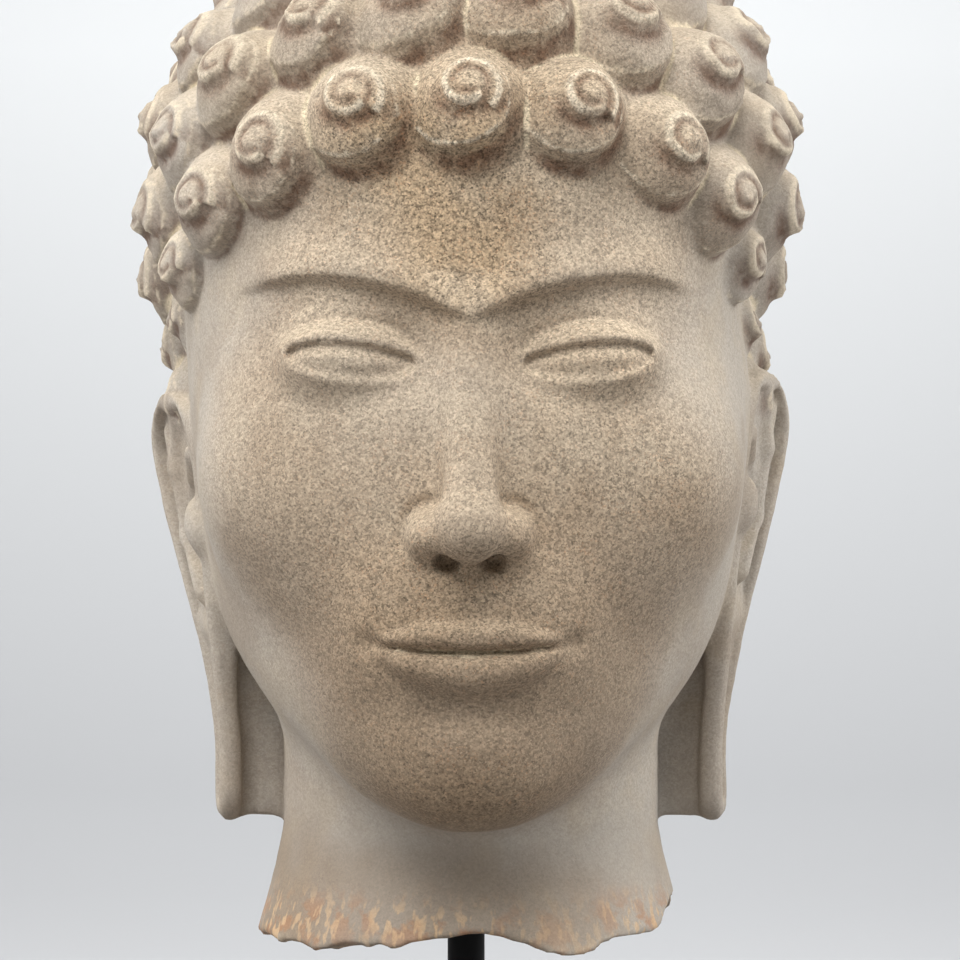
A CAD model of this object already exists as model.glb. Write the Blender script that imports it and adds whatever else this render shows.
import math

import bpy
import numpy as np
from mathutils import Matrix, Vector


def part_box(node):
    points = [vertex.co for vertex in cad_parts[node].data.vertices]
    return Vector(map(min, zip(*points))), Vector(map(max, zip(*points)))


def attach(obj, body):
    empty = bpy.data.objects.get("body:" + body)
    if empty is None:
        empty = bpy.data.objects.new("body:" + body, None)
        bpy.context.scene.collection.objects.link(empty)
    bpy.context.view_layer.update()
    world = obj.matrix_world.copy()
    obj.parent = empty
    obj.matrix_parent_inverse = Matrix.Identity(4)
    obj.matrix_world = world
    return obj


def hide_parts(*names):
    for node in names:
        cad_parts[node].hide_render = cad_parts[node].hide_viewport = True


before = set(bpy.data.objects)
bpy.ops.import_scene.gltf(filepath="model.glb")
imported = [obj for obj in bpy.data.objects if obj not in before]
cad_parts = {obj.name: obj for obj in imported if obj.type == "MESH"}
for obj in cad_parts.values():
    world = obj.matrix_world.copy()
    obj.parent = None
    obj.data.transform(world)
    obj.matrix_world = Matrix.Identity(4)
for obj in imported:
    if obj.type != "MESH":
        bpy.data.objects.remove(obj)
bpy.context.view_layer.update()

MM = 0.001


# ---------------------------------------------------------------------------------------------
# The foot: a square of thick steel plate that the post stands in. The plate is sawn, its edges
# are eased with a file and it is sprayed satin black, so the eased edges catch a thin light.
# ---------------------------------------------------------------------------------------------
foot_low, foot_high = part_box("stand_foot")
foot_corner_radius = 5 * MM
foot_edge_radius = 1.4 * MM


def sheet_colour(hex_text):
    """Turns an sRGB hex colour into the linear colour a shader takes."""
    parts = [int(hex_text[i:i + 2], 16) / 255 for i in (1, 3, 5)]
    return tuple(v / 12.92 if v <= 0.04045 else ((v + 0.055) / 1.055) ** 2.4 for v in parts) + (1.0,)


def add_node(tree, kind, links=None, **settings):
    """Adds one node; settings name its sockets or its own options, links feed its sockets."""
    node = tree.nodes.new(kind)
    for name, value in settings.items():
        label = name.replace("_", " ")
        if label in node.inputs:
            node.inputs[label].default_value = value
        else:
            setattr(node, name, value)
    for socket, source in (links or {}).items():
        tree.links.new(source, node.inputs[socket])
    return node


def new_material(name):
    """An empty material with its surface shader, ready for the finish that its section gives it."""
    material = bpy.data.materials.new(name)
    material.use_nodes = True
    tree = material.node_tree
    tree.nodes.clear()
    surface = add_node(tree, "ShaderNodeBsdfPrincipled")
    output = add_node(tree, "ShaderNodeOutputMaterial")
    tree.links.new(surface.outputs["BSDF"], output.inputs["Surface"])
    return material, tree, surface


def add_piece(name, vertices, faces, material, slot, *nodes):
    """Puts a mesh in the scene as a piece that stands for the named solids."""
    mesh = bpy.data.meshes.new(name)
    mesh.from_pydata(vertices, [], faces)
    mesh.update()
    piece = bpy.data.objects.new(name, mesh)
    bpy.context.scene.collection.objects.link(piece)
    mesh.materials.append(material)
    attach(piece, "root")
    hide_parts(*nodes)
    return piece


def satin_black_paint():
    """Sprayed alkyd enamel over steel: near black, an even satin sheen with a faint spray dimple."""
    material, tree, surface = new_material("satin_black_paint")
    place = add_node(tree, "ShaderNodeTexCoord").outputs["Object"]
    dust_size = 9 * MM
    dimple_size = 0.9 * MM
    dust = add_node(tree, "ShaderNodeTexNoise", {"Vector": place}, Scale=1 / dust_size, Detail=5.0)
    tint = add_node(tree, "ShaderNodeMix", {"Factor": dust.outputs["Fac"]}, data_type="RGBA")
    tint.inputs["A"].default_value = sheet_colour("#040404")
    tint.inputs["B"].default_value = sheet_colour("#090909")
    tree.links.new(tint.outputs["Result"], surface.inputs["Base Color"])
    sheen = add_node(tree, "ShaderNodeMapRange", {"Value": dust.outputs["Fac"]}, To_Min=0.5, To_Max=0.65)
    tree.links.new(sheen.outputs["Result"], surface.inputs["Roughness"])
    dimple = add_node(tree, "ShaderNodeTexNoise", {"Vector": place}, Scale=1 / dimple_size, Detail=2.0)
    bump = add_node(tree, "ShaderNodeBump", {"Height": dimple.outputs["Fac"]},
                    Strength=0.12, Distance=0.1 * MM)
    tree.links.new(bump.outputs["Normal"], surface.inputs["Normal"])
    surface.inputs["Specular IOR Level"].default_value = 0.15
    surface.inputs["IOR"].default_value = 1.5
    return material


def eased_plate(low, high, corner, edge):
    """A plate with round corners whose top and bottom edges are rolled over in four small steps."""
    outline = []
    for quarter in range(4):
        turn = quarter * math.pi / 2
        diagonal = turn + math.pi / 4
        cx = (high[0] if quarter in (0, 3) else low[0]) - math.copysign(corner, math.cos(diagonal))
        cy = (high[1] if quarter in (0, 1) else low[1]) - math.copysign(corner, math.sin(diagonal))
        for step in range(7):
            angle = turn + step * math.pi / 12
            outline.append((cx, cy, math.cos(angle), math.sin(angle)))
    levels = []
    for step in range(5):
        angle = step * math.pi / 8
        levels.append((edge * (1 - math.sin(angle)), low[2] + edge * (1 - math.cos(angle))))
    levels += [(inset, low[2] + high[2] - z) for inset, z in reversed(levels)]
    vertices = [(cx + (corner - inset) * dx, cy + (corner - inset) * dy, z)
                for inset, z in levels for cx, cy, dx, dy in outline]
    count = len(outline)
    faces = [tuple(reversed(range(count)))]
    for level in range(len(levels) - 1):
        for i in range(count):
            j = (i + 1) % count
            here = level * count
            faces.append((here + i, here + j, here + count + j, here + count + i))
    top = (len(levels) - 1) * count
    faces.append(tuple(range(top, top + count)))
    return vertices, faces


black_paint = satin_black_paint()
plate_vertices, plate_faces = eased_plate(foot_low, foot_high, foot_corner_radius, foot_edge_radius)
foot_plate = add_piece("foot_plate", plate_vertices, plate_faces, black_paint, "black_steel", "stand_foot")


# ---------------------------------------------------------------------------------------------
# The post: a length of round steel bar, cut square, welded into the foot with a small ground
# fillet and sprayed with it. Its upper end is hidden in a hole drilled up into the broken neck.
# ---------------------------------------------------------------------------------------------
post_low, post_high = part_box("stand_post")
post_radius = (post_high[0] - post_low[0]) / 2
weld_radius = 3.5 * MM
post_sides = 64

post_profile = []
for step in range(7):
    angle = step * math.pi / 12
    post_profile.append((post_radius + weld_radius * (1 - math.sin(angle)),
                         foot_high[2] + weld_radius * (1 - math.cos(angle))))
post_profile.append((post_radius, post_high[2] - 1 * MM))
post_profile.append((post_radius - 1 * MM, post_high[2]))


def turned(profile, sides):
    """Turns a profile of radius and height round the upright axis and closes both ends."""
    vertices = [(radius * math.cos(2 * math.pi * i / sides), radius * math.sin(2 * math.pi * i / sides), z)
                for radius, z in profile for i in range(sides)]
    faces = [tuple(reversed(range(sides)))]
    for level in range(len(profile) - 1):
        for i in range(sides):
            j = (i + 1) % sides
            here = level * sides
            faces.append((here + i, here + j, here + sides + j, here + sides + i))
    top = (len(profile) - 1) * sides
    faces.append(tuple(range(top, top + sides)))
    return vertices, faces


bar_vertices, bar_faces = turned(post_profile, post_sides)
post_bar = add_piece("post_bar", bar_vertices, bar_faces, black_paint, "black_steel", "stand_post")


# ---------------------------------------------------------------------------------------------
# The head: one block of fine-grained brown sandstone, carved all round and broken off through
# the neck. It is shaped here as a carver would rough it out, by round masses that run into each
# other, in millimetres, and its skin is then drawn on a fine grid and thinned where it is plain.
# ---------------------------------------------------------------------------------------------
post_axis_x = (post_low[0] + post_high[0]) / 2 / MM
head_low, head_high = (np.array(corner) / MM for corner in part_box("stone_head"))

chin_z = 169.0
head_height = 285.0
head_breadth = 190.0
face_third = head_height / 3.5
nose_base_z = chin_z + face_third
mouth_z = nose_base_z - face_third / 3
eye_z = chin_z + head_height / 2
brow_z = chin_z + 2 * face_third
crown_z = chin_z + head_height
eye_x = head_breadth / 5 - 2
eye_half = head_breadth / 10 + 1
mouth_half = 31.0
neck_y = 8.0
neck_radius = 60.8
neck_flare = 7.2
neck_flare_top = 164.0
neck_break_z = 134.0
head_x = 1.5
socket_radius = 6.6
socket_top = post_high[2] / MM + 0.5


def smooth(t):
    s = np.clip(t, 0, 1)
    return s * s * (3 - 2 * s)


def bell(t):
    return np.exp(-t * t)


def between(a, b, t):
    return a + (b - a) * t


def join(a, b, size):
    """Runs two masses into each other with a fillet about as wide as the size."""
    h = np.maximum(size - np.abs(a - b), 0) / size
    return np.minimum(a, b) - h * h * size / 4


def carve(a, b, size):
    """Takes the second mass out of the first and leaves a soft edge."""
    return -join(-a, b, size)


def egg(p, centre, radii):
    q = [(p[i] - centre[i]) / radii[i] for i in range(3)]
    k0 = np.sqrt(q[0] ** 2 + q[1] ** 2 + q[2] ** 2)
    k1 = np.sqrt((q[0] / radii[0]) ** 2 + (q[1] / radii[1]) ** 2 + (q[2] / radii[2]) ** 2)
    return k0 * (k0 - 1) / np.maximum(k1, 1e-6)


def taper(p, start, end, start_radius, end_radius):
    d = [end[i] - start[i] for i in range(3)]
    t = np.clip(sum((p[i] - start[i]) * d[i] for i in range(3)) / sum(v * v for v in d), 0, 1)
    gap = np.sqrt(sum((p[i] - start[i] - d[i] * t) ** 2 for i in range(3)))
    return gap - (start_radius + (end_radius - start_radius) * t)


def unevenness(p, size, seed):
    """Smooth random waves of about the given size, from -1 to 1, the same on every run."""
    table = np.random.default_rng(seed).uniform(-1, 1, (32, 32, 32)).astype(np.float32)
    cell = [np.floor(v / size).astype(np.int32) for v in p]
    ease = []
    for k in range(3):
        f = p[k] / size - cell[k]
        ease.append(f * f * (3 - 2 * f))
    total = 0
    for corner in range(8):
        bits = (corner & 1, corner >> 1 & 1, corner >> 2 & 1)
        share = 1
        for k in range(3):
            share = share * (ease[k] if bits[k] else 1 - ease[k])
        total = total + share * table[tuple((cell[k] + bits[k]) & 31 for k in range(3))]
    return total


def brow_height(ax):
    return brow_z - 7 + 13 * np.sin(math.pi * np.minimum(ax, 78) / 96)


def brow_ridge(ax, z):
    """The raised edge of the brow, sharp below and fading upwards into the forehead."""
    up = z - brow_height(ax)
    brow = np.where(up > 0, bell(up / 9), bell(up / 2.3)) * 4.0
    return brow * smooth((ax + 8) / 18) * smooth((77 - ax) / 20)


def eye_relief(ax, z):
    """An almond eye between two raised rims, sunk most under the upper one, with a fold above."""
    u = (ax - eye_x) / eye_half
    arc = np.sqrt(np.maximum(1 - u * u, 0))
    level = eye_z + 1.4 * u
    upper = level + 5.0 * arc * (1 + 0.15 * u)
    lower = level - 6.0 * arc
    inside = np.minimum(upper - z, z - lower)
    climb = np.clip((z - lower) / np.maximum(upper - lower, 1), 0, 1)
    depth = (0.8 + 1.7 * climb) * smooth(inside / 2.2 + 0.3) - 1.3 * smooth((inside - 0.8) / 4.6)
    opening = -depth * smooth((1.02 - np.abs(u)) / 0.09)
    near = smooth((1.22 - np.abs(u)) / 0.3)
    rims = 1.0 * bell((z - upper - 1.5) / 1.5) + 0.6 * bell((z - lower + 1.5) / 1.5)
    fold_z = level + 10.4 * np.sqrt(np.maximum(1.34 - u * u, 0)) + 0.4
    fold = -1.2 * bell((z - fold_z) / 1.5) * smooth((1.16 - np.abs(u)) / 0.3)
    return rims * near + fold + opening


def nostril_crease(ax, z):
    wing = np.hypot(ax - 11, 0.9 * (z - nose_base_z - 7))
    return -1.5 * bell((wing - 10) / 1.7) * smooth((ax - 8) / 6) * smooth((z - nose_base_z) / 5)


def mouth_line(ax):
    return mouth_z + 0.0026 * ax * ax


def lip_relief(ax, z):
    """Two full lips with a crisp outer edge, parted by a line that lifts towards its ends."""
    line = mouth_line(ax)
    s = np.clip(1 - (ax / mouth_half) ** 2, 0, 1)
    upper_lip = 9.4 * s ** 0.8 - 1.5 * bell(ax / 3.6)
    lower_lip = 13.0 * s ** 0.72
    above = np.clip((z - line) / np.maximum(upper_lip, 0.3), 0, 1.6)
    below = np.clip((line - z) / np.maximum(lower_lip, 0.3), 0, 1.6)
    ends = smooth((mouth_half - ax) / 13)
    lips = 4.2 * np.clip(4 * above * (1 - above), 0, 1) ** 0.6 * ends
    lips = lips + 5.0 * np.clip(4 * below * (1 - below), 0, 1) ** 0.6 * ends
    edge = np.where(z > line, bell((above - 1.03) / 0.11), bell((below - 1.02) / 0.08))
    lips = lips + 0.8 * edge * ends
    return lips - 1.8 * bell((z - line) / 1.2) * smooth((mouth_half + 1.5 - ax) / 6)


def mouth_corner(ax, z):
    return -1.9 * bell(np.hypot(ax - mouth_half - 0.5, z - mouth_line(ax)) / 3.6)


def lip_groove(ax, z):
    """The upright groove from the nose to the upper lip."""
    return -1.1 * bell(ax / 2.9) * smooth((z - mouth_z - 9) / 3) * smooth((nose_base_z - 1 - z) / 4)


def chin_fold(ax, z):
    return -1.6 * bell((z - mouth_z + 19.5) / 5) * smooth((24 - ax) / 15)


def face_relief(ax, z):
    """What stands up from the front of the face, or is cut into it, by place on the front view."""
    features = (brow_ridge, eye_relief, nostril_crease, lip_relief, mouth_corner, lip_groove, chin_fold)
    return sum(feature(ax, z) for feature in features)


def neck_mass(p):
    flare = neck_flare * (np.maximum(neck_flare_top - p[2], 0) / (neck_flare_top - neck_break_z)) ** 1.2
    deep = neck_radius - 2 + flare
    side = (np.hypot(p[0] / (neck_radius + flare), (p[1] - neck_y) / deep) - 1) * deep
    return np.maximum(side, p[2] - eye_z)


def bare_head(p):
    """The skull, face and neck, without hair or ears: below zero inside the stone."""
    x, y, z = p
    a = (np.abs(x), y, z)
    # The dome of the skull, the back of the head and the face.
    d = egg(a, (0, 5, 373), (head_breadth / 2, 103, crown_z - 373))
    d = join(d, egg(a, (0, 26, 322), (86, 80, 92)), 30)
    d = join(d, egg(a, (0, -14, 291), (88, 87, 117)), 26)
    # The sides of the jaw, its front, the mound under the mouth, the chin and the cheeks.
    d = join(d, taper(a, (46, -2, 240), (20, -56, 207), 24, 26), 30)
    d = join(d, taper(a, (0, -58, 236), (0, -68, 199), 41, 28), 30)
    d = join(d, egg(a, (0, -88, 229), (30, 15, 25)), 18)
    d = join(d, egg(a, (0, -84, 190), (20, 15, 17)), 18)
    d = join(d, egg(a, (45, -55, 275), (32, 29, 31)), 26)
    d = join(d, neck_mass(a), 12)
    # The eye sockets, and the eyes that swell in them.
    d = carve(d, egg(a, (eye_x - 3, -108, eye_z + 5), (27, 16.5, 17)), 12)
    d = join(d, egg(a, (eye_x, -79.5, eye_z - 0.5), (23, 18, 17)), 5)
    # The bridge of the nose, its tip, its wings and the nostrils.
    d = join(d, taper(a, (0, -91, brow_z - 8), (0, -111, nose_base_z + 13), 7, 8.4), 8)
    d = join(d, egg(a, (0, -111, nose_base_z + 9.5), (10.5, 11, 9.5)), 6)
    d = join(d, egg(a, (12, -101.5, nose_base_z + 7.5), (8, 11.5, 7.6)), 5)
    d = carve(d, egg(a, (7, -106, nose_base_z + 0.5), (3.6, 5.5, 3.5)), 2.5)
    return d - smooth((-50 - y) / 20) * face_relief(a[0], z)


ushnisha_radius = 38.0
ushnisha_at = (0.0, 46.0, crown_z - 28.0)


def scalp(p):
    """The head with the low swelling on its crown that the uppermost curls sit on."""
    bump = np.sqrt(p[0] ** 2 + (p[1] - ushnisha_at[1]) ** 2 + (p[2] - ushnisha_at[2]) ** 2) - ushnisha_radius
    return join(bare_head(p), bump, 22)


# The hair: rows of snail-shell curls. The rows run round a pole that leans back from the
# vertical, so that the lowest row follows the forehead, passes over the ears and ends at the nape.
hair_tilt = math.radians(40)
hair_centre = np.array([0.0, -6.0, 314.5])
hair_axes = np.array([[0.0, math.sin(hair_tilt), math.cos(hair_tilt)],
                      [0.0, -math.cos(hair_tilt), math.sin(hair_tilt)],
                      [1.0, 0.0, 0.0]])
hair_rows = 6
curl_pitch = 32.0
curl_radius = 17.8
crown_growth = 0.16
curl_height = 13.0
curl_growth = 2.5
curl_ledge = 3.9
curl_turn = -0.2
cap_reach = 0.47
cap_height = 2.8
groove_depth = 1.5
ear_top_lift = math.radians(8)
ear_side = 1.62
temple_lift = math.radians(2.8)
temple_side = 0.9
curl_search = 29.0
shortest_reach = 15.0
longest_reach = 190.0
halvings = 26


def columns(points):
    return points[:, 0], points[:, 1], points[:, 2]


def on_scalp(from_pole, around):
    """Finds the points of the scalp that lie in the given directions from the middle of the hair."""
    shares = [np.cos(from_pole), np.sin(from_pole) * np.cos(around), np.sin(from_pole) * np.sin(around)]
    directions = np.stack(shares, 1) @ hair_axes
    near = np.full(len(directions), shortest_reach)
    far = np.full(len(directions), longest_reach)
    for _ in range(halvings):
        middle = (near + far) / 2
        inside = scalp(columns(hair_centre + directions * middle[:, None])) < 0
        near = np.where(inside, middle, near)
        far = np.where(inside, far, middle)
    return hair_centre + directions * far[:, None]


def outward_at(points, form, step):
    slopes = []
    for k in range(3):
        shift = np.zeros(3)
        shift[k] = step
        slopes.append(form(columns(points + shift)) - form(columns(points - shift)))
    slopes = np.stack(slopes, 1)
    return slopes / np.linalg.norm(slopes, axis=1)[:, None]


def row_level(row, side):
    """Angle of a row from the pole; the low rows are lifted over the temples and the ears."""
    lift = ear_top_lift * bell((side - ear_side) / 0.45) + temple_lift * bell((side - temple_side) / 0.42)
    return (1 - row / hair_rows) * math.pi / 2 - lift * max(1 - row / 3, 0)


def lay_out_curls():
    """Gives each curl its foot, its axis, its size and how far it is turned."""
    hand = np.random.default_rng(11)
    curls = []
    for row in range(hair_rows + 1):
        ring = np.linspace(0, 2 * math.pi, 145)
        side = np.minimum(ring, 2 * math.pi - ring)
        line = on_scalp(row_level(row, side), ring)
        walk = np.concatenate([[0], np.cumsum(np.linalg.norm(np.diff(line, axis=0), axis=1))])
        count = max(round(walk[-1] / curl_pitch), 1)
        stops = (np.arange(count) + (row % 2) / 2 + hand.uniform(-0.03, 0.03, count)) * walk[-1] / count
        around = np.interp(stops, walk, ring)
        side = np.minimum(around, 2 * math.pi - around)
        feet = on_scalp(row_level(row, side) + hand.uniform(-0.01, 0.01, count), around)
        axes = outward_at(feet, scalp, 2.0)
        cocked = 0.22 * max(1 - row / 3, 0)
        for i in range(count):
            forward = 1.5 * cocked * bell((side[i] - 0.85) / 0.5)
            axis = axes[i] + cocked * bell(side[i] / 1.2) * hair_axes[0] + hand.uniform(-0.04, 0.04, 3)
            axis = axis + forward * np.array([0.0, -1.0, 0.0])
            axis = axis / np.linalg.norm(axis)
            small = 0.33 * bell((side[i] - 1.5) / 0.4) if row == 0 else 0.0
            large = crown_growth * min(max(row - 3, 0), 2) / 2
            size = (1 - small + large) * hand.uniform(0.95, 1.05)
            curls.append((feet[i] - small * 13 * axes[i], axis, size, curl_turn + hand.uniform(-0.4, 0.4)))
    return curls


def curl_skin(p, curl):
    """Distance to a curl, nearness to a lip and to the wall below it. The lips are the edge of the
    raised cap, in which a groove winds to the middle, and of the spiral step that winds round it."""
    foot, axis, size, turn = curl
    down = np.array([0.0, 0.0, -1.0]) + axis * axis[2]
    if np.linalg.norm(down) < 0.25:
        down = np.array([0.0, -1.0, 0.0]) + axis * axis[1]
    down = down / np.linalg.norm(down)
    side = np.cross(axis, down)
    q = [p[k] - foot[k] for k in range(3)]
    a, b, h = (sum(q[k] * v[k] for k in range(3)) for v in (down, side, axis))
    angle = np.arctan2(b, a)
    reach = curl_radius * size * (1 + 0.03 * np.sin(2 * angle + 11 * turn))
    r = np.hypot(a, b) / reach
    dome = curl_height * size * (1 - np.minimum(r, 1.5) ** 2.4)
    worn_off = 0.8 + 0.4 * unevenness(p, 5, 12)
    winding = np.log(np.maximum(r, 0.2)) / math.log(curl_growth) + (angle + turn) / (2 * math.pi)
    f = winding - np.floor(winding)
    wall = np.clip(0.07 / np.maximum(r, 0.2), 0.08, 0.2)
    step = np.where(f < 1 - wall, (f / (1 - wall)) ** 3, 1 - smooth((f - 1 + wall) / wall))
    step = step * smooth((r - 0.5) / 0.12) * smooth((1.35 - r) / 0.22)
    ledge = curl_ledge * (0.62 + 0.38 * np.cos(angle)) * step
    share = np.mod(0.14 - (angle + turn) / (2 * math.pi), 1)
    past = (r - cap_reach * (0.8 + 0.5 * share)) * reach
    cap = cap_height * (0.62 + 0.38 * np.cos(angle)) * smooth(0.5 - past / 1.8)
    cap = cap - 0.7 * bell((past - 2.4) / 1.2)
    beside = (r - cap_reach * (0.42 + 0.38 * share)) * reach
    groove = groove_depth * bell(beside / 1.1)
    skin = dome + (ledge + cap - groove) * worn_off + 0.3 * unevenness(p, 3.1, 13)
    lip = np.maximum(bell((past + 0.8) / 1.0), 0.9 * step ** 12) * smooth((1.3 - r) / 0.2)
    below = np.maximum(bell((past - 2.0) / 2.4), bell((f - 0.08) / 0.16) * smooth((r - 0.55) / 0.1))
    below = np.maximum(below * smooth(0.4 + np.cos(angle)), 0.9 * bell(beside / 1.2))
    return (h - skin) * 0.62, lip, below


# The ears: long, turned a little outward, with rolled rims and stretched, slotted lobes. A web of
# stone is left between each lobe and the neck.
ear_top_left_z = 304.0
ear_top_right_z = 311.0
ear_foot_z = 164.0
ear_thickness = 12.0
lobe_thickness = 7.5


def ear_cut(t):
    """Middle, turn, half-width and thickness of a level cut, from the ear's top at 0 to its foot at 1."""
    t = np.clip(t, 0, 1)
    full = between(24, 13, smooth((t - 0.12) / 0.75)) + 2 * bell((t - 0.16) / 0.14)
    thick = between(ear_thickness, lobe_thickness, smooth((t - 0.45) / 0.3))
    turn = between(0.36, 0.14, smooth((t - 0.2) / 0.6))
    rim = between(109.5, 85.2, smooth(t / 0.87))
    x = rim - full * np.sin(turn) - thick / 2
    y = between(15, 18, t) + 3 * bell((t - 0.1) / 0.2)
    round_top = np.sqrt(np.maximum(1 - (1 - np.minimum(t / 0.16, 1)) ** 2, 0))
    round_foot = np.sqrt(1 - 0.7 * np.clip((t - 0.92) / 0.08, 0, 1) ** 2)
    return x, y, turn, full * round_top * round_foot, thick


def ear(p):
    ax, y, z = np.abs(p[0]), p[1], p[2]
    ear_top_z = np.where(p[0] > 0, ear_top_right_z, ear_top_left_z)
    t = (ear_top_z - z) / (ear_top_z - ear_foot_z)
    cx, cy, turn, half, thick = ear_cut(t)
    u = (ax - cx) * np.sin(turn) + (y - cy) * np.cos(turn)
    w = (ax - cx) * np.cos(turn) - (y - cy) * np.sin(turn)
    outline = np.maximum(np.abs(u) - half, np.maximum(z - ear_top_z, ear_foot_z - z)) * 0.9
    edge = 3.6
    q1 = outline + edge
    q2 = np.abs(w) - thick / 2 + edge
    d = np.minimum(np.maximum(q1, q2), 0) + np.hypot(np.maximum(q1, 0), np.maximum(q2, 0)) - edge
    face = ear_thickness / 2
    inside_rim = outline + 5.2 + 0.6 * smooth((t - 0.5) / 0.3)
    sunk = between(4.4, 3.0, smooth((t - 0.5) / 0.2)) - 3 * bell((t - 0.55) / 0.05)
    d = carve(d, np.maximum(inside_rim, thick / 2 - sunk - w), 2.4)
    e = (u, z + 312 - ear_top_z, w)
    d = join(d, taper(e, (2, 303, face - 4), (9, 286, face - 4), 2.2, 3.0), 3)
    d = join(d, taper(e, (9, 286, face - 4), (8, 264, face - 4), 3.0, 3.2), 3)
    d = join(d, taper(e, (8, 264, face - 4), (-1, 246, face - 4), 3.2, 4.2), 3)
    d = join(d, taper(e, (9, 286, face - 4), (13, 299, face - 4), 2.4, 1.8), 3)
    d = join(d, taper(e, (-16, 291, face - 3), (-3, 280, face - 4.5), 3.4, 2.2), 3)
    d = carve(d, egg(e, (-5, 267, face - 3), (9, 14, 6.5)), 3)
    d = join(d, egg(e, (-17, 268, face - 1), (6, 9, 5)), 3.5)
    return d


def lobe_web(p):
    ax, y, z = np.abs(p[0]), p[1], p[2]
    t = np.clip((ear_top_left_z - z) / (ear_top_left_z - ear_foot_z), 0, 1)
    cx, cy, turn, half, thick = ear_cut(t)
    front = cy - between(12, 1, t) + 1.5 * unevenness(p, 9, 17)
    back = cy + between(15, 9, t)
    ends = np.maximum(z - ear_top_left_z + 3, ear_foot_z + 1 - z)
    sides = np.maximum(front - y, y - back)
    return np.maximum(np.maximum(ends, sides), np.maximum(ax - cx - (y - cy) * np.tan(turn), 45 - ax))


# The lumps of the broken edge, each with its rise, its angle from the front and its width.
break_lumps = [(3.6, 0.0, 0.3), (-2.2, 0.45, 0.22), (-1.8, -0.8, 0.45), (-3.0, -1.6, 0.45), (11.0, 1.5, 0.33)]


def fracture(p):
    """The broken underside: lumpy, higher in the middle, with a ragged edge and a corner gone."""
    x, y, z = p
    angle = np.arctan2(x, neck_y - y)
    edge = 130.4 + 2.5 * np.sin(3 * angle + 1) * smooth((np.abs(angle) - 1.7) / 0.5)
    for rise, at, width in break_lumps:
        edge = edge + rise * bell((angle - at) / width)
    middle = 9 * smooth(1.05 - np.hypot(x, y - neck_y) / 62)
    rough = 1.5 * unevenness(p, 17, 21) + 1.2 * unevenness(p, 8, 22) + 0.7 * unevenness(p, 3.5, 23)
    return (edge + middle + rough - z) * 0.7


def take(p, chosen):
    return tuple(v[chosen] for v in p)


def in_head(p):
    """Turns places in the room into places in the head, whose right temple is cut a little flatter."""
    flatter = 5.0 * bell((p[2] - 334) / 24) * smooth((p[0] - 50) / 40)
    return p[0] - head_x + flatter, p[1], p[2]


def stone(p, curls):
    """The whole carving, below zero inside the stone."""
    p = in_head(p)
    d = scalp(p)
    for curl in curls:
        gap = sum((p[k] - curl[0][k]) ** 2 for k in range(3))
        near = np.where(gap < curl_search ** 2)[0]
        if len(near):
            d[near] = join(d[near], curl_skin(take(p, near), curl)[0], 1.3)
    near = np.where((np.abs(p[0]) > 40) & (p[2] < 325) & (p[2] > 150) & (p[1] > -30) & (p[1] < 62))[0]
    d[near] = join(d[near], lobe_web(take(p, near)), 5)
    d[near] = join(d[near], ear(take(p, near)), 3.5)
    d = d + 0.3 * unevenness(p, 24, 31) + 0.14 * unevenness(p, 7, 32) + 0.1 * unevenness(p, 3, 33)
    low = np.where(p[2] < 165)[0]
    d[low] = -join(-d[low], -fracture(take(p, low)), 1.6)
    drilled = np.where(p[2] < socket_top + 5)[0]
    q = take(p, drilled)
    hole = np.maximum(np.hypot(q[0] + head_x - post_axis_x, q[1]) - socket_radius, q[2] - socket_top)
    d[drilled] = np.maximum(d[drilled], -hole)
    return d


def sample(form, low, high, cell, block=8):
    """Reads the form on a grid, finely only in the blocks that its surface passes through."""
    coarse = cell * block
    counts = np.ceil((high - low) / coarse).astype(int)
    middles = [low[k] + (np.arange(counts[k]) + 0.5) * coarse for k in range(3)]
    points = np.stack(np.meshgrid(*middles, indexing="ij"), -1).reshape(-1, 3).astype(np.float32)
    d = form(columns(points.copy()))
    grid = np.where(d < 0, -9, 9).reshape(counts).astype(np.float32)
    for k in range(3):
        grid = np.repeat(grid, block, k)
    blocks = np.stack(np.unravel_index(np.where(np.abs(d) < coarse * 1.15)[0], counts), 1)
    inner = np.stack(np.meshgrid(*[np.arange(block)] * 3, indexing="ij"), -1).reshape(-1, 3)
    for start in range(0, len(blocks), 600):
        index = (blocks[start:start + 600, None, :] * block + inner[None]).reshape(-1, 3)
        points = (low + (index + 0.5) * cell).astype(np.float32)
        grid[tuple(index.T)] = form(columns(points.copy()))
    return grid


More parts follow.
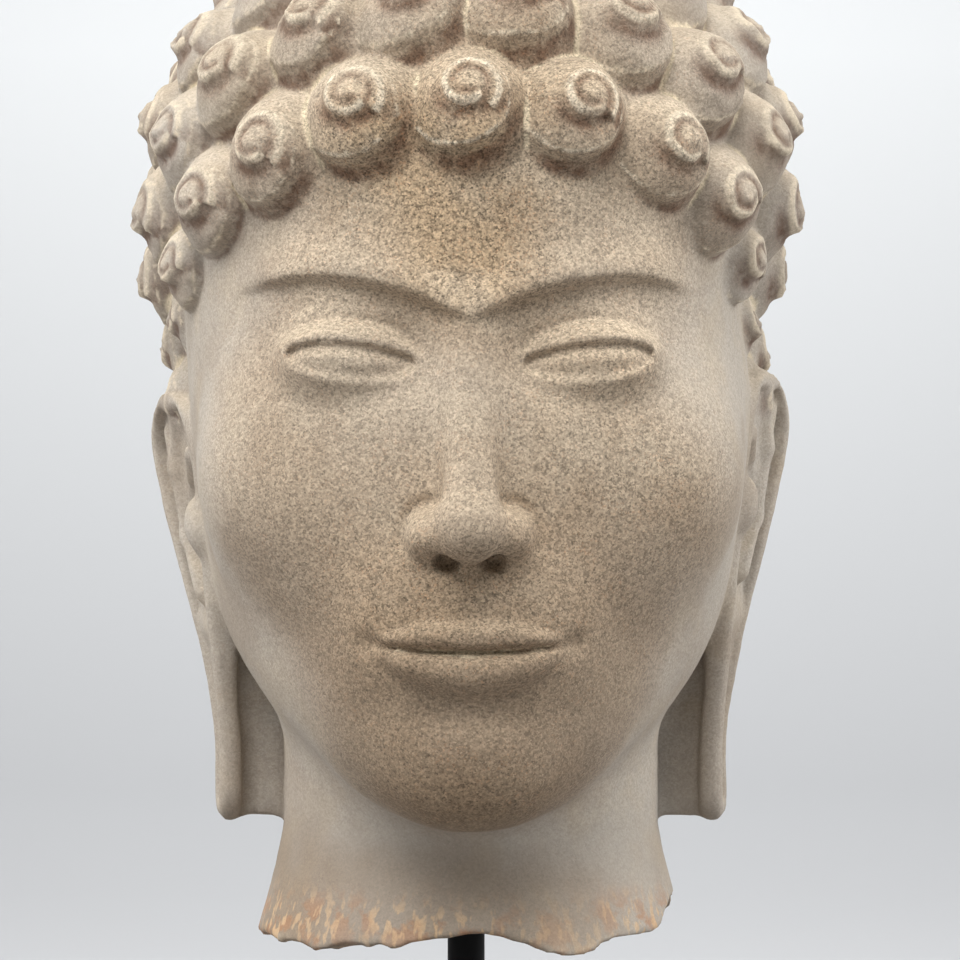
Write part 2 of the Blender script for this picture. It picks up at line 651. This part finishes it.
def skin_of(grid, low, cell):
    """Draws the closed skin between the inside and the outside of a grid, one corner to a cell."""
    inside = grid < 0
    size = np.array(grid.shape)
    filled = np.zeros(size - 1, np.int8)
    corners = np.array([(i, j, k) for i in (0, 1) for j in (0, 1) for k in (0, 1)])
    for i, j, k in corners:
        filled += inside[i:size[0] - 1 + i, j:size[1] - 1 + j, k:size[2] - 1 + k]
    crossed = (filled > 0) & (filled < 8)
    cells = np.argwhere(crossed)
    number = np.full(size - 1, -1, np.int32)
    number[crossed] = np.arange(len(cells))
    values = np.stack([grid[tuple((cells + corner).T)] for corner in corners], 1)
    total = np.zeros((len(cells), 3))
    hits = np.zeros(len(cells))
    for i in range(8):
        for j in range(i + 1, 8):
            if np.abs(corners[i] - corners[j]).sum() == 1:
                cut = (values[:, i] < 0) != (values[:, j] < 0)
                share = values[cut, i] / (values[cut, i] - values[cut, j])
                total[cut] += corners[i] + (corners[j] - corners[i]) * share[:, None]
                hits += cut
    vertices = low + (cells + total / hits[:, None] + 0.5) * cell
    faces = []
    for axis in range(3):
        u, v = (k for k in range(3) if k != axis)
        here = np.take(inside, range(size[axis] - 1), axis)
        there = np.take(inside, range(1, size[axis]), axis)
        edges = np.argwhere(here != there)
        edges = edges[(edges[:, u] > 0) & (edges[:, v] > 0)]
        edges = edges[(edges[:, u] < size[u] - 1) & (edges[:, v] < size[v] - 1)]
        turned_out = here[tuple(edges.T)] ^ (axis == 1)
        ring = []
        for du, dv in ((1, 1), (0, 1), (0, 0), (1, 0)):
            spot = edges.copy()
            spot[:, u] -= du
            spot[:, v] -= dv
            ring.append(number[tuple(spot.T)])
        ring = np.stack(ring, 1)
        ring[~turned_out] = ring[~turned_out][:, ::-1]
        faces.append(ring)
    return vertices, np.concatenate(faces)


def weathered_sandstone():
    """Fine-grained brown sandstone, dull as dry earth. Where the carved skin has worn through, the
    eye sees a sugary mix of cream, brown and rusty grains; the rest is smooth and greyer. Cream
    dust lies in the hollows and on rubbed edges, and the walls that face down are brown with dirt."""
    material, tree, surface = new_material("weathered_sandstone")
    place = add_node(tree, "ShaderNodeTexCoord").outputs["Object"]

    def noise(size, detail=2.0, rough=0.5, shift=0.0):
        moved = add_node(tree, "ShaderNodeVectorMath", {0: place}, operation="ADD")
        moved.inputs[1].default_value = (shift, shift * 2, -shift)
        node = add_node(tree, "ShaderNodeTexNoise", {"Vector": moved.outputs["Vector"]},
                        Scale=1 / (size * MM), Detail=detail, Roughness=rough)
        return node.outputs["Fac"]

    def grains(size):
        node = add_node(tree, "ShaderNodeTexVoronoi", {"Vector": place}, Scale=1 / (size * MM))
        return add_node(tree, "ShaderNodeSeparateColor", {"Color": node.outputs["Color"]})

    def ramp(value, low, high, to_low=0.0, to_high=1.0):
        node = add_node(tree, "ShaderNodeMapRange", {"Value": value}, interpolation_type="SMOOTHSTEP")
        for name, number in (("From Min", low), ("From Max", high), ("To Min", to_low), ("To Max", to_high)):
            node.inputs[name].default_value = number
        return node.outputs["Result"]

    def sums(operation, *values):
        node = add_node(tree, "ShaderNodeMath", operation=operation)
        for socket, value in enumerate(values):
            if isinstance(value, float):
                node.inputs[socket].default_value = value
            else:
                tree.links.new(value, node.inputs[socket])
        return node.outputs["Value"]

    def tinted(base, colour, amount):
        node = add_node(tree, "ShaderNodeMix", data_type="RGBA")
        tree.links.new(amount, node.inputs["Factor"])
        tree.links.new(base, node.inputs["A"])
        node.inputs["B"].default_value = sheet_colour(colour)
        return node.outputs["Result"]

    hollow = add_node(tree, "ShaderNodeAttribute", attribute_name="hollow").outputs["Fac"]
    rubbed = add_node(tree, "ShaderNodeAttribute", attribute_name="rubbed").outputs["Fac"]
    torn = add_node(tree, "ShaderNodeAttribute", attribute_name="torn").outputs["Fac"]
    worn = add_node(tree, "ShaderNodeAttribute", attribute_name="worn").outputs["Fac"]
    handled = add_node(tree, "ShaderNodeAttribute", attribute_name="handled").outputs["Fac"]
    sheltered = add_node(tree, "ShaderNodeAttribute", attribute_name="sheltered").outputs["Fac"]
    facing = add_node(tree, "ShaderNodeSeparateXYZ",
                      {"Vector": add_node(tree, "ShaderNodeNewGeometry").outputs["Normal"]}).outputs["Z"]

    ground = add_node(tree, "ShaderNodeMix", {"Factor": worn}, data_type="RGBA")
    ground.inputs["A"].default_value = sheet_colour("#b0a99f")
    ground.inputs["B"].default_value = sheet_colour("#aa9478")
    colour = ground.outputs["Result"]
    colour = tinted(colour, "#86725c", sums("MULTIPLY", ramp(noise(42, 3.0), 0.42, 0.66), 0.35))
    colour = tinted(colour, "#b0a28e", sums("MULTIPLY", ramp(noise(26, 3.0, 0.55, 0.3), 0.45, 0.7), 0.5))
    colour = tinted(colour, "#66533f", sums("MULTIPLY", ramp(facing, 0.0, -0.9), 0.34))
    colour = tinted(colour, "#cdbca2", sums("MULTIPLY", ramp(facing, 0.1, 0.8), 0.34))
    dirty = ramp(noise(7, 3.0, 0.6, 0.8), 0.3, 0.6, 0.25, 0.8)
    colour = tinted(colour, "#5a3d2c", sums("MULTIPLY", sheltered, dirty))
    colour = tinted(colour, "#725e48", sums("MULTIPLY", handled, 0.82))
    dusty = ramp(noise(5, 3.0, 0.6, 0.35), 0.34, 0.58, 0.2, 0.8)
    colour = tinted(colour, "#cfc0a4", sums("MULTIPLY", ramp(hollow, 0.1, 0.6), 0.8))
    colour = tinted(colour, "#d2c4ad", sums("MULTIPLY", ramp(rubbed, 0.15, 0.75), dusty))

    # Real grains are 0.2 to 0.5 mm across, too fine to show, so both sizes are drawn coarser.
    small = grains(0.52)
    large = grains(0.92)
    tone = sums("MULTIPLY_ADD", small.outputs["Red"], 0.62, sums("MULTIPLY", large.outputs["Red"], 0.38))
    contrast = sums("MULTIPLY_ADD", worn, 0.68, 0.08)
    shade = sums("MULTIPLY_ADD", sums("MULTIPLY_ADD", tone, 2.0, -1.0), contrast, 1.0)
    rust_grain = ramp(small.outputs["Green"], 0.86, 0.9)
    rust_patch = ramp(noise(11, 3.0, 0.6, 0.9), 0.46, 0.66, 0.1, 0.4)
    colour = tinted(colour, "#a9764e", sums("MULTIPLY", sums("MULTIPLY", rust_grain, rust_patch), contrast))
    blotch = sums("MULTIPLY", ramp(noise(8, 4.0, 0.6, 0.4), 0.46, 0.6), torn)
    colour = tinted(colour, "#a87650", sums("MULTIPLY", blotch, 0.6))
    tall = add_node(tree, "ShaderNodeMapping", {"Vector": place})
    tall.inputs["Scale"].default_value = (1, 1, 0.38)
    pecks = add_node(tree, "ShaderNodeTexNoise", {"Vector": tall.outputs["Vector"]},
                     Scale=1 / (2.6 * MM), Detail=2.0)
    pecked = sums("MULTIPLY", ramp(pecks.outputs["Fac"], 0.52, 0.62), torn)
    colour = tinted(colour, "#c9a984", sums("MULTIPLY", pecked, 0.75))
    scaled = add_node(tree, "ShaderNodeVectorMath", {0: colour, "Scale": shade}, operation="SCALE")
    tree.links.new(scaled.outputs["Vector"], surface.inputs["Base Color"])

    relief = sums("MULTIPLY_ADD", tone, 0.6, noise(0.9, 3.0, 0.65, 0.15))
    relief = sums("ADD", relief, ramp(noise(3.2, 2.0, 0.5, 0.6), 0.28, 0.38, -0.8, 0.0))
    relief = sums("MULTIPLY_ADD", pecked, -1.6, relief)
    roughened = sums("MULTIPLY_ADD", worn, 0.5, 0.25)
    bump = add_node(tree, "ShaderNodeBump", {"Height": relief, "Strength": roughened}, Distance=0.3 * MM)
    tree.links.new(bump.outputs["Normal"], surface.inputs["Normal"])
    surface.inputs["Roughness"].default_value = 0.9
    surface.inputs["Specular IOR Level"].default_value = 0.3
    surface.inputs["IOR"].default_value = 1.5
    return material


curls = lay_out_curls()
cell = 1.15
room = 8.0
stone_grid = sample(lambda p: stone(p, curls), head_low - room, head_high + room, cell)
skin_vertices, skin_faces = skin_of(stone_grid, head_low - room, cell)
stone_head = add_piece("carved_head", (skin_vertices * MM).tolist(), skin_faces.tolist(),
                       weathered_sandstone(), "sandstone", "stone_head")
triangle_goal = 190000
thin = stone_head.modifiers.new("thin", "DECIMATE")
thin.ratio = min(triangle_goal / (2 * len(skin_faces)), 1)
bpy.context.view_layer.objects.active = stone_head
depsgraph = bpy.context.evaluated_depsgraph_get()
thinned = bpy.data.meshes.new_from_object(stone_head.evaluated_get(depsgraph))
stone_head.modifiers.clear()
stone_head.data = thinned
thinned.name = "carved_head"
thinned.shade_smooth()


def add_marks(mesh, name, values):
    layer = mesh.attributes.new(name, "FLOAT", "POINT")
    layer.data.foreach_set("value", np.clip(values, 0, 1).astype(np.float32))


def mark_wear(mesh, curls):
    """Marks each point of the skin by how hollow, how rubbed and how freshly broken it is."""
    count = len(mesh.vertices)
    points = np.empty(count * 3, np.float32)
    mesh.vertices.foreach_get("co", points)
    points = points.reshape(-1, 3) / MM
    normals = np.empty(count * 3, np.float32)
    mesh.vertices.foreach_get("normal", normals)
    normals = normals.reshape(-1, 3)
    reach = 2.6
    outside = stone(columns(points + normals * reach), curls)
    within = stone(columns(points - normals * reach), curls)
    bend = (outside + within) / np.maximum(outside - within, 0.5)
    places = columns(points)
    patchy = 0.5 + 0.5 * unevenness(places, 34, 41)
    front = smooth((-points[:, 1] - 40) / 62)
    forehead = bell(np.hypot(points[:, 0], points[:, 2] - 370) / 42) * front
    neck = smooth((points[:, 2] - 158) / 22)
    lower_face = smooth((300 - points[:, 2]) / 100) * smooth((-points[:, 1] - 50) / 36)
    collar = (0.5 - 0.22 * np.clip(points[:, 0] / 50, -1, 1)) * smooth((176 - points[:, 2]) / 24)
    lobes = 0.3 * smooth((250 - points[:, 2]) / 60) * smooth((np.abs(points[:, 0]) - 62) / 10)
    add_marks(mesh, "handled", np.maximum(np.maximum(lower_face, collar), lobes) * (0.7 + 0.3 * patchy))
    nearest = np.full(count, 9.0)
    second = np.full(count, 9.0)
    lips = np.zeros(count)
    sheltered = np.zeros(count)
    inner = in_head(places)
    for curl in curls:
        near = np.where(sum((inner[k] - curl[0][k]) ** 2 for k in range(3)) < curl_search ** 2)[0]
        gap, lip, below = curl_skin(take(inner, near), curl)
        second[near] = np.minimum(second[near], np.maximum(nearest[near], gap))
        nearest[near] = np.minimum(nearest[near], gap)
        lips[near] = np.maximum(lips[near], lip * bell(gap / 1.3))
        sheltered[near] = np.maximum(sheltered[near], below * bell(gap / 1.3))
    # Between two curls both are near, so the second nearest shows where their seam runs.
    seam = bell(np.maximum(second, 0) / 1.5)
    add_marks(mesh, "hollow", np.maximum(-0.3 * bend, seam * smooth(0.5 + unevenness(places, 11, 43))))
    add_marks(mesh, "rubbed", np.maximum(0.6 * bend, lips))
    add_marks(mesh, "sheltered", sheltered)
    ragged = 0.4 + 0.6 * smooth(0.5 + unevenness(places, 16, 42))
    add_marks(mesh, "torn", smooth((neck_break_z + 15 - points[:, 2]) / 14) * ragged)
    add_marks(mesh, "worn", (0.16 + front * (0.25 + 0.5 * patchy) + 0.35 * forehead) * (0.25 + 0.75 * neck))


mark_wear(thinned, curls)


# ---------------------------------------------------------------------------------------------
# The studio: a pale paper sweep that is floor and backdrop in one, a broad soft light above the
# front, a weaker one on each side, and the white room round it all.
# ---------------------------------------------------------------------------------------------
sweep_half_width = 6.0
sweep_front = -4.0
sweep_back = 3.3
sweep_bend = 1.0
sweep_top = 5.0


def paper_sweep():
    profile = [(sweep_front, 0.0)]
    for step in range(17):
        angle = step * math.pi / 32
        profile.append((sweep_back - sweep_bend + sweep_bend * math.sin(angle),
                        sweep_bend - sweep_bend * math.cos(angle)))
    profile.append((sweep_back, sweep_top))
    vertices = [(x, y, z) for y, z in profile for x in (-sweep_half_width, sweep_half_width)]
    faces = [(2 * i, 2 * i + 1, 2 * i + 3, 2 * i + 2) for i in range(len(profile) - 1)]
    return vertices, faces


def backdrop_paper():
    """Matt seamless paper, printed to run from pale grey on the floor to near white above."""
    material, tree, surface = new_material("backdrop_paper")
    place = add_node(tree, "ShaderNodeTexCoord").outputs["Object"]
    height = add_node(tree, "ShaderNodeSeparateXYZ", {"Vector": place}).outputs["Z"]
    rise = add_node(tree, "ShaderNodeMapRange", {"Value": height}, From_Max=0.75)
    tint = add_node(tree, "ShaderNodeMix", {"Factor": rise.outputs["Result"]}, data_type="RGBA")
    tint.inputs["A"].default_value = sheet_colour("#c3c4c6")
    tint.inputs["B"].default_value = sheet_colour("#f3f5f6")
    tree.links.new(tint.outputs["Result"], surface.inputs["Base Color"])
    surface.inputs["Roughness"].default_value = 0.95
    return material


sweep_mesh = bpy.data.meshes.new("paper_sweep")
sweep_vertices, sweep_faces = paper_sweep()
sweep_mesh.from_pydata(sweep_vertices, [], sweep_faces)
sweep_mesh.shade_smooth()
sweep = bpy.data.objects.new("paper_sweep", sweep_mesh)
bpy.context.scene.collection.objects.link(sweep)
sweep_mesh.materials.append(backdrop_paper())


def soft_light(name, place, aim, size, power, spread):
    lamp = bpy.data.lights.new(name, "AREA")
    lamp.shape = "SQUARE"
    lamp.size = size
    lamp.energy = power
    lamp.spread = math.radians(spread)
    light = bpy.data.objects.new(name, lamp)
    light.location = place
    light.rotation_euler = (Vector(aim) - light.location).to_track_quat("-Z", "Y").to_euler()
    light.visible_camera = False
    bpy.context.scene.collection.objects.link(light)


head_middle = (0.0, 0.0, 0.33)
soft_light("top_light", (-0.25, -1.1, 1.65), head_middle, 1.4, 7.6, 60)
soft_light("left_light", (-1.25, 0.1, 0.85), head_middle, 1.0, 6.6, 120)
soft_light("right_light", (1.25, 0.1, 0.85), head_middle, 1.0, 7.4, 120)
soft_light("backdrop_light", (0.0, 1.5, 2.3), (0.0, 3.2, 0.7), 1.4, 35, 150)

room_light = bpy.data.worlds.new("white_room")
bpy.context.scene.world = room_light
room_light.use_nodes = True
room_walls = room_light.node_tree.nodes["Background"]
room_walls.inputs["Color"].default_value = sheet_colour("#f6f7f8")
room_walls.inputs["Strength"].default_value = 0.28
bpy.context.scene.view_settings.view_transform = "Standard"


# ---------------------------------------------------------------------------------------------
# The camera: level with the middle of the face and straight in front of it, with a long lens.
# ---------------------------------------------------------------------------------------------
view_distance = 1.35
view_width = 0.3114
view_height = 0.275
view_side = 0.0045
lens = bpy.data.cameras.new("long_lens")
lens.sensor_width = 36.0
lens.lens = lens.sensor_width * view_distance / view_width
lens.clip_end = 50
camera = bpy.data.objects.new("camera", lens)
camera.location = (view_side, -view_distance, view_height)
camera.rotation_euler = (math.pi / 2, 0, 0)
bpy.context.scene.collection.objects.link(camera)
bpy.context.scene.camera = camera
